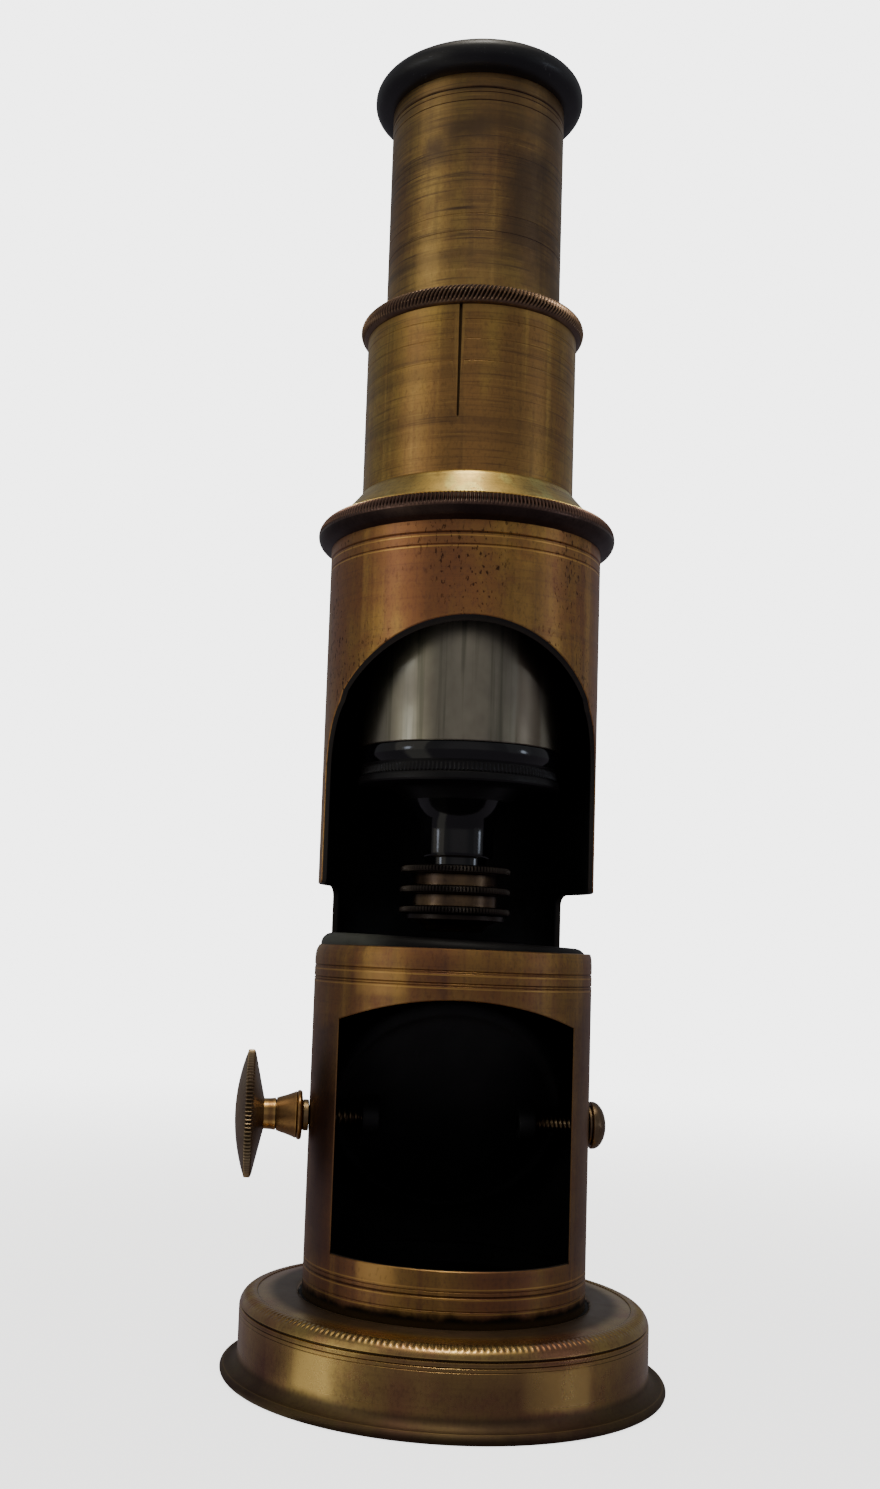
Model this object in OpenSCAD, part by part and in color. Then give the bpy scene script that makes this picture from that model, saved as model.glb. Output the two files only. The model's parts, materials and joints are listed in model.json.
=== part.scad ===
// Drum microscope: three telescoping tubes stand in a slotted drum on a weighted foot.
// Millimetres. The origin is the centre of the foot's underside, +Z is up,
// the drum's openings face -Y and the mirror's knob is on the -X side.

/* [Foot] */
// Radius of the flange that stands on the table
foot_flange_r = 31.2; // [30.6:0.1:33]
// Radius of the foot's upright side
foot_side_r = 28.8; // [28:0.1:29.2]
// Height of the foot's top face beside the drum
foot_top_z = 11.9; // [11.6:0.1:12.4]

/* [Drum] */
// Outer radius of the drum, which sets every fit inside it
drum_r = 20; // [19.8:0.05:20.2]
// Thickness of the drum's tube
drum_wall = 0.8; // [0.7:0.05:0.9]
// Height of the drum's top edge
drum_top_z = 118.5; // [117:0.5:120]
// Height of the stage, where a slide rests
stage_z = 61.2; // [60.8:0.1:61.4]
// Half the width of the mirror window
window_half_w = 16.2; // [14:0.2:17]
// Height of the mirror window's lower edge
window_bottom_z = 18.4; // [17:0.2:20]
// Height of the mirror window's corners, where its arch starts
window_corner_z = 49.8; // [48:0.2:51]
// Height of the top of the mirror window's arch
window_apex_z = 53.2; // [52:0.2:54.5]
// Turn of both windows from the front, towards the knob's side
window_turn = 2.8; // [0:0.1:4]
// Height of the top of the slide slot
slot_top_z = 68.7; // [66:0.1:70]
// Distance behind the axis at which the slide slot stops
slot_back_y = 9.7; // [9.6:0.1:11]
// Height of the top of the objective window's arch
arch_apex_z = 105.3; // [102:0.1:107]
// Distance in front of the axis of the objective window's upright edges
arch_leg_y = 4.6; // [3:0.1:6]

/* [Tubes] */
// Outer radius of the slit guide sleeve
sleeve_r = 15.7; // [15.6:0.05:16]
// Thickness of the guide sleeve
sleeve_wall = 0.75; // [0.6:0.05:0.9]
// Height of the guide sleeve's top edge
sleeve_top_z = 151.1; // [149:0.5:153]
// Depth of the slit that makes the sleeve springy
slit_depth = 16.35; // [10:0.05:20]
// Turn of the slit from the front, towards the knob's side
slit_angle = 12.5; // [0:0.5:30]
// Radial clearance of each sliding or turning fit
running_gap = 0.05; // [0.02:0.01:0.09]
// Height of the body tube's lower end
body_bottom_z = 88.7; // [88:0.1:89.4]
// Outer radius of the draw tube
draw_r = 13.1; // [12.9:0.05:13.2]
// Height of the draw tube's lower end
draw_bottom_z = 128; // [127.5:0.25:129]
// Height of the draw tube's top edge, under the eyepiece cap
draw_top_z = 187.5; // [186:0.5:190]
// Radius of the eyepiece cap
cap_r = 15.9; // [15.5:0.1:16.5]
// Thickness of the eyepiece cap above the tube
cap_h = 4.5; // [4.2:0.1:5]

/* [Mirror] */
// Height of the mirror's pivot axis
mirror_z = 35.5; // [35:0.1:36]
// Radius of the mirror's cell
mirror_r = 17.8; // [16.5:0.1:18]
// Lean of the mirror from upright
mirror_tilt = 27.5; // [-45:0.5:45]
// Radius of the knob that turns the mirror
knob_r = 9; // [8:0.1:10]

/* [Objective] */
// Radius of the milled flange on each objective button
button_flange_r = 8.05; // [7.6:0.05:8.6]
// Radius of the button's body under the flange
button_body_r = 6.1; // [5.8:0.05:6.6]
// Height of the front lens's nose above the stage, with the body tube right down
nose_gap = 1.3; // [1.2:0.1:1.6]

/* [Hidden] */
$fn = 96;
far = 60; // reach of a cutter past everything it cuts

// Foot
foot_wall = 1.1;
foot_inner_r = foot_side_r - foot_wall;
base_plate_r = foot_flange_r - 1.8;
base_plate_t = 0.9;
recess_z = foot_top_z - 1; // floor of the recess that the drum stands in
recess_r = drum_r + 0.9;
spigot_boss_r = 8;
spigot_boss_z = 6;

// Drum
drum_in_r = drum_r - drum_wall;
spigot_top_z = recess_z + 4.1;
stage_t = 2.4;
stage_proud = 1.2; // height of the stage above the drum's cut edge
stage_edge_r = 0.8;
stage_hole_r = 5.5;
slot_bottom_z = stage_z - stage_proud;
collar_thread_r = 17.5;
thread_depth = 5.5;
arch_bend_r = 14; // bend between the objective window's upright edge and its slope
arch_slope = 0.93; // fall of the slope for each millimetre back
arch_drop = 21.2; // height of the apex above the centre of the bend
slot_corner_r = 1.5;

// Tubes
sleeve_in_r = sleeve_r - sleeve_wall;
body_r = sleeve_in_r - running_gap;
body_in_r = body_r - 0.7;
nose_r = body_r - 0.05;
head_r = 16.8;
head_h = 2.9;
head_lip = 1.2; // thickness of the head's lip over the end of the body tube
head_top_z = sleeve_top_z + head_h;
body_top_z = head_top_z - head_lip;
bush_h = 18.8;
draw_in_r = draw_r - 0.7;

// Objective
button_h = 2.95;
button_thread_r = 4.5;
thread_h = 1.3;
nose_z = stage_z + nose_gap;
lower_top_z = 66;
middle_top_z = lower_top_z + button_h;
upper_top_z = middle_top_z + button_h;
neck_bottom_z = upper_top_z + 1.2;

// Mirror: distances along the mirror's own axis are from the pivot axis
mirror_back = 2;
mirror_floor = 1;
glass_t = 1.2;
mirror_edge = 2.6;
lug_x = 11.25;
lug_w = 2.5;
lug_r = 2.4;
axle_r = 1.5;
screw_r = 1.2;
wall_gap = 0.05; // end play between the drum and each washer
washer_t = 0.85;
stem_x = drum_r + wall_gap + washer_t;
stem_l = 5.55;
stem_neck_r = 2.15;
knob_x = stem_x + stem_l;
screw_washer_t = 0.45;
screw_head_x = drum_r + wall_gap + screw_washer_t;

brass = "#8f6f33";
dark_brass = "#5f4822";
silvery = "#8a8672";
black = "#1c1b19";
glass = "#b9c6c8";
lead = "#5b5c60";

// Points on an arc about [r, z], from one angle to another
function arc(centre, radius, from, to, steps = 6) =
    [for (i = [0 : steps])
        let (a = from + (to - from) * i / steps)
        [centre[0] + radius * cos(a), centre[1] + radius * sin(a)]];

// A ring or, with no inner radius, a disc
module ring(outer, inner, low, high) {
    translate([0, 0, low]) difference() {
        cylinder(r = outer, h = high - low);
        if (inner > 0) translate([0, 0, -1]) cylinder(r = inner, h = high - low + 2);
    }
}

// A plano-convex lens: flat face at z, edge and dome below it
module lens(radius, dome_r, z, edge, sag) {
    ball = (dome_r * dome_r + sag * sag) / (2 * sag);
    half = asin(dome_r / ball);
    rotate_extrude() polygon(concat(
        [[0, z], [radius, z], [radius, z - edge]],
        arc([0, z - edge - sag + ball], ball, half - 90, -90, 8)
    ));
}

// Places a child that is built about the pivot axis, with its back along +Y
module on_pivot() {
    translate([0, 0, mirror_z]) rotate([mirror_tilt, 0, 0]) children();
}

// Turns a shape of revolution about Z to lie along the pivot axis, out to the given side
module along_x(side) {
    rotate([0, side * 90, 0]) children();
}

// Turned and spun shell: flange, upright side, round shoulder, beaded line and nearly flat top
module foot_shell() {
    shoulder_r = 2.2;
    shoulder_z = foot_top_z - 2.9;
    bead_r = 0.45;
    color(brass) rotate_extrude() polygon(concat(
        [[base_plate_r, 0], [foot_flange_r, 0], [foot_flange_r, 1.3], [foot_side_r + 1, 1.9]],
        [[foot_side_r, 3]],
        arc([foot_side_r - shoulder_r, shoulder_z], shoulder_r, 0, 90),
        arc([foot_side_r - shoulder_r - bead_r, shoulder_z + shoulder_r], bead_r, 0, 160),
        [[recess_r, foot_top_z], [recess_r, recess_z]],
        [[spigot_boss_r, recess_z], [spigot_boss_r, recess_z - foot_wall]],
        [[foot_inner_r - 1.8, recess_z - foot_wall], [foot_inner_r, recess_z - foot_wall - 1.8]],
        [[foot_inner_r, base_plate_t], [base_plate_r, base_plate_t]]
    ));
}

module foot_ballast() {
    color(lead) difference() {
        rotate_extrude() polygon([
            [0, base_plate_t], [foot_inner_r, base_plate_t],
            [foot_inner_r, recess_z - foot_wall - 1.8],
            [foot_inner_r - 1.8, recess_z - foot_wall], [0, recess_z - foot_wall]
        ]);
        translate([0, 0, spigot_boss_z]) cylinder(r = spigot_boss_r, h = far);
    }
}

module foot_base_plate() {
    color(brass) cylinder(r = base_plate_r, h = base_plate_t);
}

// Cup that the drum's lower end is pushed over; its boss is set in the ballast
module foot_spigot() {
    color(black) union() {
        translate([0, 0, spigot_boss_z]) cylinder(r = spigot_boss_r, h = recess_z - spigot_boss_z + 0.5);
        translate([0, 0, recess_z]) cylinder(r = drum_in_r, h = 1.2);
        ring(drum_in_r, drum_in_r - 1, recess_z + 0.6, spigot_top_z);
    }
}

// Outline of the slide slot, seen from the side as [y, z]
module slot_outline() {
    polygon(concat(
        [[-far, slot_bottom_z], [slot_back_y, slot_bottom_z]],
        arc([slot_back_y - slot_corner_r, slot_top_z - slot_corner_r], slot_corner_r, 0, 90),
        [[-far, slot_top_z]]
    ));
}

// Outline of the objective window over the slot, seen from the side as [y, z]
module arch_outline() {
    bend = [-arch_leg_y - arch_bend_r, arch_apex_z - arch_drop];
    polygon(concat(
        [[-far, slot_bottom_z + 1], [-arch_leg_y, slot_bottom_z + 1]],
        arc(bend, arch_bend_r, 0, 47),
        [[-drum_r, arch_apex_z], [-far, arch_apex_z + (far - drum_r) * arch_slope]]
    ));
}

// Outline of the mirror window, seen from the front as [x, z]
module window_outline() {
    rise = window_apex_z - window_corner_z;
    arch_r = (window_half_w * window_half_w + rise * rise) / (2 * rise);
    half = asin(window_half_w / arch_r);
    polygon(concat(
        [[-window_half_w, window_bottom_z], [window_half_w, window_bottom_z]],
        arc([0, window_apex_z - arch_r], arch_r, 90 - half, 90 + half, 10)
    ));
}

module drum_tube() {
    color(brass) difference() {
        ring(drum_r, drum_in_r, recess_z, drum_top_z);
        rotate([90, 0, 90]) translate([0, 0, -far]) linear_extrude(2 * far) slot_outline();
        rotate([0, 0, -window_turn]) {
            rotate([90, 0, 90]) translate([0, 0, -far]) linear_extrude(2 * far) arch_outline();
            rotate([90, 0, 0]) linear_extrude(far) window_outline();
        }
        translate([0, 0, mirror_z]) along_x(-1) cylinder(r = axle_r + running_gap, h = far);
        translate([0, 0, mirror_z]) along_x(1) cylinder(r = screw_r + running_gap, h = far);
    }
}

module drum_top_ring() {
    color(dark_brass) ring(drum_in_r, collar_thread_r, drum_top_z - thread_depth - 0.5, drum_top_z);
}

// Thick disc that stands a little above the drum's cut edge, with a rounded rim
module stage_plate() {
    color(black) rotate_extrude() polygon(concat(
        [[stage_hole_r, stage_z - stage_t], [drum_in_r, stage_z - stage_t]],
        arc([drum_in_r - stage_edge_r, stage_z - stage_edge_r], stage_edge_r, 0, 90),
        [[stage_hole_r, stage_z]]
    ));
}

// Collar that screws into the drum and carries the guide sleeve: half-round rim under a cone
module collar() {
    rim_r = 1.9;
    color(brass) rotate_extrude() polygon(concat(
        [[sleeve_r, drum_top_z - thread_depth], [collar_thread_r, drum_top_z - thread_depth]],
        [[collar_thread_r, drum_top_z], [drum_r, drum_top_z]],
        arc([drum_r + 0.1, drum_top_z + rim_r + 0.15], rim_r, -70, 85, 10),
        [[drum_r - 0.4, drum_top_z + 4.1], [sleeve_r + 0.6, drum_top_z + 8], [sleeve_r, drum_top_z + 8.3]]
    ));
}

module guide_sleeve() {
    slit_w = 0.5;
    color(brass) difference() {
        ring(sleeve_r, sleeve_in_r, drum_top_z - thread_depth, sleeve_top_z);
        rotate([0, 0, -slit_angle])
            translate([-slit_w / 2, -far, sleeve_top_z - slit_depth])
            cube([slit_w, far, far]);
    }
}

// Tray that holds the glass, with a flat back, a bevelled rim and two pivot lugs
module mirror_cell() {
    rim = mirror_r - 0.9;
    color(black) on_pivot() difference() {
        union() {
            rotate([-90, 0, 0]) rotate_extrude() polygon([
                [0, mirror_back], [mirror_r - 1.6, mirror_back], [mirror_r, mirror_back + 0.8],
                [mirror_r, mirror_back + mirror_edge], [rim, mirror_back + mirror_edge],
                [rim, mirror_back + mirror_floor], [0, mirror_back + mirror_floor]
            ]);
            for (side = [-1, 1]) translate([side * lug_x, 0, 0]) {
                rotate([0, 90, 0]) cylinder(r = lug_r, h = lug_w, center = true);
                translate([-lug_w / 2, 0, -lug_r]) cube([lug_w, mirror_back + 0.4, 2 * lug_r]);
            }
        }
        translate([-lug_x, 0, 0]) rotate([0, 90, 0]) cylinder(r = axle_r, h = lug_w + 2, center = true);
        translate([lug_x, 0, 0]) rotate([0, 90, 0]) cylinder(r = screw_r, h = lug_w + 2, center = true);
    }
}

module mirror_glass() {
    color(glass) on_pivot() rotate([-90, 0, 0])
        translate([0, 0, mirror_back + mirror_floor]) cylinder(r = mirror_r - 0.9, h = glass_t);
}

module mirror_ring() {
    color(brass) on_pivot() rotate([-90, 0, 0])
        ring(mirror_r - 0.9, mirror_r - 1.7, mirror_back + mirror_floor + glass_t, mirror_back + mirror_edge);
}

module mirror_axle() {
    start = lug_x - lug_w / 2;
    color(dark_brass) translate([0, 0, mirror_z]) along_x(-1)
        translate([0, 0, start]) cylinder(r = axle_r, h = knob_x + 2 - start);
}

module axle_washer() {
    color(dark_brass) translate([0, 0, mirror_z]) along_x(-1) ring(2.2, axle_r, drum_r + wall_gap, stem_x);
}

// Stem between the washer and the knob: a flare with a rolled edge, a long taper and a fine groove
module knob_stem() {
    groove_x = knob_x - 1.75;
    color(brass) translate([0, 0, mirror_z]) along_x(-1) rotate_extrude() polygon([
        [axle_r, stem_x], [stem_neck_r, stem_x], [3.2, stem_x + 0.15], [3.5, stem_x + 0.45],
        [3.4, stem_x + 0.8], [2.35, groove_x - 0.15], [2.1, groove_x], [2.25, groove_x + 0.15],
        [stem_neck_r, knob_x], [axle_r, knob_x]
    ]);
}

// Turned knob: a shallow cone towards the stem, a milled rim and a domed outer face
module mirror_knob() {
    rim_x = knob_x + 1.5;
    rim_t = 1.2;
    dome_h = 1.45;
    dome_r = (knob_r * knob_r + dome_h * dome_h) / (2 * dome_h);
    half = asin((knob_r - 0.2) / dome_r);
    color(dark_brass) translate([0, 0, mirror_z]) along_x(-1) difference() {
        rotate_extrude() polygon(concat(
            [[0, knob_x], [stem_neck_r, knob_x], [knob_r - 0.4, rim_x], [knob_r, rim_x + 0.35]],
            [[knob_r, rim_x + rim_t - 0.25]],
            arc([0, rim_x + rim_t + dome_h - dome_r], dome_r, 90 - half, 90, 8)
        ));
        translate([0, 0, knob_x - 1]) cylinder(r = axle_r, h = 3);
    }
}

module pivot_screw() {
    head_r = 3.35;
    head_rim = 0.4;
    dome_h = 1.9;
    dome_r = (head_r * head_r + dome_h * dome_h) / (2 * dome_h);
    half = asin(head_r / dome_r);
    tip = lug_x - lug_w / 2;
    color(brass) translate([0, 0, mirror_z]) along_x(1) rotate_extrude() polygon(concat(
        [[0, tip], [screw_r, tip], [screw_r, screw_head_x], [head_r, screw_head_x]],
        arc([0, screw_head_x + head_rim + dome_h - dome_r], dome_r, 90 - half, 90, 8)
    ));
}

module pivot_washer() {
    color(brass) translate([0, 0, mirror_z]) along_x(1) ring(2.8, screw_r, drum_r + wall_gap, screw_head_x);
}

module body_tube() {
    color(silvery) ring(body_r, body_in_r, body_bottom_z, body_top_z);
}

// Knurled ring that stops the body tube on the guide sleeve
module body_head() {
    lip_r = draw_r + 0.1;
    color(brass) rotate_extrude() polygon(concat(
        [[body_r, sleeve_top_z]],
        arc([head_r - head_h / 2, sleeve_top_z + head_h / 2], head_h / 2, -90, 90, 8),
        [[lip_r, head_top_z], [lip_r, body_top_z], [body_r, body_top_z]]
    ));
}

module draw_bush() {
    color(dark_brass) ring(body_in_r, draw_r + running_gap, body_top_z - bush_h, body_top_z);
}

// Black turned piece that closes the body tube and carries the objective buttons: bead, groove,
// flange, and a funnel that narrows to the neck
module nosepiece() {
    flange_z = body_bottom_z - 5.45;
    funnel_top_r = 9.6;
    neck_r = 5.4;
    thread_end_z = upper_top_z - thread_h;
    color(black) rotate_extrude() polygon(concat(
        [[body_in_r, body_bottom_z + 4.3], [body_in_r, body_bottom_z], [nose_r, body_bottom_z]],
        [[nose_r, body_bottom_z - 2.5], [nose_r - 0.5, body_bottom_z - 3], [nose_r - 0.5, flange_z + 1.2]],
        [[nose_r, flange_z + 0.7], [nose_r, flange_z], [funnel_top_r, flange_z]],
        [[funnel_top_r - 0.7, flange_z - 0.6], [neck_r + 0.9, flange_z - 3.6], [neck_r + 0.2, flange_z - 4.8]],
        [[neck_r, flange_z - 6], [neck_r, neck_bottom_z], [button_thread_r, neck_bottom_z]],
        [[button_thread_r, thread_end_z], [3.6, thread_end_z], [3.6, flange_z - 3]],
        [[body_in_r - 4.6, flange_z + 1.4], [body_in_r - 1, body_bottom_z - 1], [body_in_r - 1, body_bottom_z + 4.3]]
    ));
}

module body_diaphragm() {
    low = body_bottom_z + 4.3;
    color(black) ring(body_in_r, 6, low, low + 0.8);
}

// Objective button: milled flange, plain body, threaded spigot below and threaded socket above
module button_cell(top) {
    low = top - button_h;
    color(dark_brass) rotate_extrude() polygon([
        [button_thread_r, top], [button_flange_r, top - 0.25], [button_flange_r, top - 0.9],
        [button_body_r, top - 1.15], [button_body_r, low], [button_thread_r, low],
        [button_thread_r, low - thread_h], [2.6, low - thread_h], [2.6, low + 0.3],
        [3.4, low + 0.3], [3.4, top - thread_h], [button_thread_r, top - thread_h]
    ]);
}

module upper_objective_cell() {
    button_cell(upper_top_z);
}

module middle_objective_cell() {
    button_cell(middle_top_z);
}

// The front button ends in a conical nose with a small opening
module lower_objective_cell() {
    color(dark_brass) rotate_extrude() polygon([
        [button_thread_r, lower_top_z], [button_flange_r, lower_top_z - 0.2],
        [button_flange_r, lower_top_z - 1.1], [button_flange_r - 0.85, lower_top_z - 1.9],
        [5.8, lower_top_z - 2], [4.4, nose_z], [1.2, nose_z],
        [1.2, nose_z + 0.5], [2.2, nose_z + 0.5], [2.2, lower_top_z - thread_h],
        [button_thread_r, lower_top_z - thread_h]
    ]);
}

// Achromat in each button, flat side down on its seat
module button_lens(seat, radius) {
    color(glass) translate([0, 0, seat]) mirror([0, 0, 1]) lens(radius, radius - 0.2, 0, 0.6, 0.55);
}

module upper_objective_lens() {
    button_lens(upper_top_z - button_h + 0.3, 3.4);
}

module middle_objective_lens() {
    button_lens(middle_top_z - button_h + 0.3, 3.4);
}

module lower_objective_lens() {
    button_lens(nose_z + 0.5, 2.2);
}

module draw_tube() {
    color(brass) ring(draw_r, draw_in_r, draw_bottom_z, draw_top_z);
}

module field_lens_cell() {
    color(black) union() {
        ring(draw_in_r, 10.6, draw_bottom_z, draw_bottom_z + 1.3);
        ring(draw_in_r, 11.4, draw_bottom_z + 1.3, draw_bottom_z + 6);
    }
}

module field_lens() {
    color(glass) lens(11.4, 10.4, draw_bottom_z + 2.9, 1.6, 1);
}

module field_stop() {
    stop_z = draw_bottom_z + 30;
    color(black) union() {
        ring(draw_in_r, draw_in_r - 0.6, stop_z - 3, stop_z);
        ring(draw_in_r, 8, stop_z, stop_z + 0.8);
    }
}

// Black eyepiece cap, dished on top, with its sight hole and a spigot in the draw tube
module eyepiece_cap() {
    top = draw_top_z + cap_h;
    round_r = cap_h / 2;
    dish_sag = 1.4;
    dish_r = cap_r - 2.2;
    dish_ball = (dish_r * dish_r + dish_sag * dish_sag) / (2 * dish_sag);
    hole_a = asin(3.6 / dish_ball);
    rim_a = asin(dish_r / dish_ball);
    color(black) rotate_extrude() polygon(concat(
        [[11.2, draw_top_z - 6.5], [draw_in_r, draw_top_z - 6.5], [draw_in_r, draw_top_z]],
        arc([cap_r - round_r, draw_top_z + round_r], round_r, -90, 90, 10),
        arc([0, top - dish_sag + dish_ball], dish_ball, rim_a - 90, hole_a - 90, 8),
        [[3.2, draw_top_z + 1.5], [4.4, draw_top_z - 1], [11.2, draw_top_z - 1]]
    ));
}

module eye_lens_cell() {
    low = draw_top_z - 6;
    color(dark_brass) union() {
        ring(11.2, 8.2, low, low + 1);
        ring(11.2, 9, low + 1, low + 5);
    }
}

module eye_lens() {
    color(glass) lens(9, 8, draw_top_z - 3.2, 1.8, 1);
}

module eye_lens_ring() {
    color(dark_brass) ring(9, 8.2, draw_top_z - 3.2, draw_top_z - 1);
}

foot_shell();
foot_ballast();
foot_base_plate();
foot_spigot();
drum_tube();
drum_top_ring();
stage_plate();
collar();
guide_sleeve();
mirror_cell();
mirror_glass();
mirror_ring();
mirror_axle();
axle_washer();
knob_stem();
mirror_knob();
pivot_screw();
pivot_washer();
body_tube();
body_head();
draw_bush();
nosepiece();
body_diaphragm();
upper_objective_cell();
upper_objective_lens();
middle_objective_cell();
middle_objective_lens();
lower_objective_cell();
lower_objective_lens();
draw_tube();
field_lens_cell();
field_lens();
field_stop();
eyepiece_cap();
eye_lens_cell();
eye_lens();
eye_lens_ring();
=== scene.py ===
"""Drum microscope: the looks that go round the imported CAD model.

The frame is the model's: +Z up along the tubes, the windows face -Y, the knob is at -X. Profiles, outlines
and heights are in millimetres, and finish_piece makes metres of them. Turns are in degrees from the front
towards +X.
"""

import json
from math import acos, asin, atan2, cos, degrees, pi, radians, sin, sqrt

import bmesh
import bpy
import numpy as np
from mathutils import Matrix, Vector
from mathutils.geometry import delaunay_2d_cdt

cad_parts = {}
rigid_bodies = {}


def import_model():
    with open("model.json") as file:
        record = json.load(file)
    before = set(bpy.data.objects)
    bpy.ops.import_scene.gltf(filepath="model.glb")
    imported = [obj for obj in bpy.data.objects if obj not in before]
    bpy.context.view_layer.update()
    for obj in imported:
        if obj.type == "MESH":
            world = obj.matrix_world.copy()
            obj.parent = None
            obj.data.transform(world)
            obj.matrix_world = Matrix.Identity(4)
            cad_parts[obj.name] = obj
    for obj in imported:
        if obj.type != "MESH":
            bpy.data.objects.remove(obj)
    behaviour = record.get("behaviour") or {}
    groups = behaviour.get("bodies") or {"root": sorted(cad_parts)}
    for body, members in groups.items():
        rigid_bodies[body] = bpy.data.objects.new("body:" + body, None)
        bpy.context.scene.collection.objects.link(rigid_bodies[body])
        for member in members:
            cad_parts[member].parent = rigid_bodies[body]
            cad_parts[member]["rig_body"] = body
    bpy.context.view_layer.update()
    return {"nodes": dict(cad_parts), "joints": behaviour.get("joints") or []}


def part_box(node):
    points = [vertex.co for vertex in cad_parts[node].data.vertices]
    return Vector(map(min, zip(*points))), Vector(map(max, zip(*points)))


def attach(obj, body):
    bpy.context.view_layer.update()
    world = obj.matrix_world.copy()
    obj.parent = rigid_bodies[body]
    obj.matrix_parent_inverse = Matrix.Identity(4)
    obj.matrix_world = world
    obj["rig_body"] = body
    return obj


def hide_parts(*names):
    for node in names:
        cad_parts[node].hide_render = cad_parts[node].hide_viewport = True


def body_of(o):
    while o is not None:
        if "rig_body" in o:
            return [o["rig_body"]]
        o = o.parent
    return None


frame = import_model()
MM = 0.001


# ------------ places, from the frame

def low(node):
    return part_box(node)[0].z / MM


def top(node):
    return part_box(node)[1].z / MM


def radius(node):
    lowest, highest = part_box(node)
    return (highest.y - lowest.y) / 2 / MM


def joint_height(name):
    return next(j for j in frame["joints"] if j["name"] == name)["pos_m"][2] / MM


FOOT_R = radius("foot_shell")
FOOT_TOP = top("foot_shell") - 0.1
DRUM_R = radius("drum_tube")
DRUM_IN = radius("stage_plate")
DRUM_LOW = low("drum_tube")
DRUM_TOP = top("drum_tube")
STAGE = top("stage_plate")
CUT_EDGE = STAGE - 1.2
SLEEVE_R = radius("guide_sleeve")
SLEEVE_TOP = top("guide_sleeve")
BODY_R = radius("body_tube")
BODY_LOW = low("body_tube")
HEAD_R = radius("body_head")
HEAD_TOP = top("body_head")
DRAW_R = radius("draw_tube")
DRAW_LOW = low("draw_tube")
DRAW_TOP = top("draw_tube")
CAP_R = radius("eyepiece_cap")
CAP_TOP = top("eyepiece_cap")
BUTTON_R = radius("upper_objective_cell")
NOSE_LOW = low("lower_objective_cell")
PIVOT = joint_height("mirror_tilt")
# These two aren't in the frame: how far the windows are turned to the knob's side, and the tubes' wall.
WINDOW_TURN = 2.8
WALL = 0.7


# ------------ mesh tools

BROKEN_EDGE = 0.12
ROW_STEP, COLUMN_STEP = 1.6, 2.0


def arc(centre, r, start, end, steps):
    """Points on an arc about (r, z), angles in degrees."""
    turn = [radians(start + (end - start) * i / steps) for i in range(steps + 1)]
    return [(centre[0] + r * cos(a), centre[1] + r * sin(a)) for a in turn]


def near(r0, z0, *points):
    """Profile points given from the place (r0, z0). Their further numbers stay as they are."""
    return [(r0 + r, z0 + z, *teeth) for r, z, *teeth in points]


def mark_relief(mesh):
    """Stores at each vertex how far it stands proud (positive) or lies in a hollow (negative)."""
    place = np.empty(len(mesh.vertices) * 3)
    normal = np.empty(len(mesh.vertices) * 3)
    ends = np.empty(len(mesh.edges) * 2, dtype=np.int32)
    mesh.vertices.foreach_get("co", place)
    mesh.vertices.foreach_get("normal", normal)
    mesh.edges.foreach_get("vertices", ends)
    place, normal, ends = place.reshape(-1, 3), normal.reshape(-1, 3), ends.reshape(-1, 2)
    step = place[ends[:, 1]] - place[ends[:, 0]]
    step /= np.linalg.norm(step, axis=1, keepdims=True) + 1e-12
    pull = np.zeros_like(place)
    np.add.at(pull, ends[:, 0], step)
    np.add.at(pull, ends[:, 1], -step)
    meeting = np.maximum(np.bincount(ends.ravel(), minlength=len(place)), 1)
    relief = mesh.attributes.new("relief", "FLOAT", "POINT")
    relief.data.foreach_set("value", (-(pull * normal).sum(axis=1) / meeting).astype(np.float32))


def show(name, data):
    """Puts a mesh, light or camera into the scene."""
    thing = bpy.data.objects.new(name, data)
    bpy.context.scene.collection.objects.link(thing)
    return thing


def finish_piece(bm, node, materials, sharp=35, place=None, beside=None):
    """Turns a bmesh in millimetres into the piece that stands for a CAD node, or into one named beside it."""
    bmesh.ops.recalc_face_normals(bm, faces=bm.faces)
    name = (beside or node) + ".visual"
    mesh = bpy.data.meshes.new(name)
    bm.to_mesh(mesh)
    bm.free()
    mesh.transform(Matrix.Scale(MM, 4))
    if place is not None:
        mesh.transform(place)
    for material in materials:
        mesh.materials.append(material)
    mesh.shade_smooth()
    mesh.set_sharp_from_angle(angle=radians(sharp))
    mark_relief(mesh)
    piece = show(name, mesh)
    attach(piece, body_of(frame["nodes"][node])[0])
    if not beside:
        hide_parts(node)
    return piece


def revolve(bm, rows, steps, teeth, depth):
    """Turns rows of (r, z, share, phase) about Z. Teeth cut inwards by depth times the row's share, or not at
    all where it is left out. The last row joins the first, unless both lie on the axis.
    """
    rings = []
    for row in rows:
        r, z, share, phase = (*row, 0, 0)[:4]
        if r == 0:
            rings.append([bm.verts.new((0, 0, z))])
            continue
        ring = []
        for i in range(steps):
            a = 2 * pi * i / steps
            wave = 0.5 - 0.5 * cos(teeth * a + phase)
            cut = r - depth * share * wave
            ring.append(bm.verts.new((cut * cos(a), cut * sin(a), z)))
        rings.append(ring)
    for a, b in zip(rings, rings[1:] + rings[:1]):
        if len(a) == 1 and len(b) == 1:
            continue
        for i in range(steps):
            j = (i + 1) % steps
            if len(a) == 1:
                bm.faces.new((a[0], b[j], b[i]))
            elif len(b) == 1:
                bm.faces.new((a[i], a[j], b[0]))
            else:
                bm.faces.new((a[i], a[j], b[j], b[i]))


def turned(node, rows, materials, steps=192, teeth=0, depth=0, sharp=35, place=None):
    """A turned piece with so many steps round it, or to each of its teeth."""
    bm = bmesh.new()
    revolve(bm, rows, steps * max(1, teeth), teeth, depth)
    return finish_piece(bm, node, materials, sharp, place)


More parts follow.
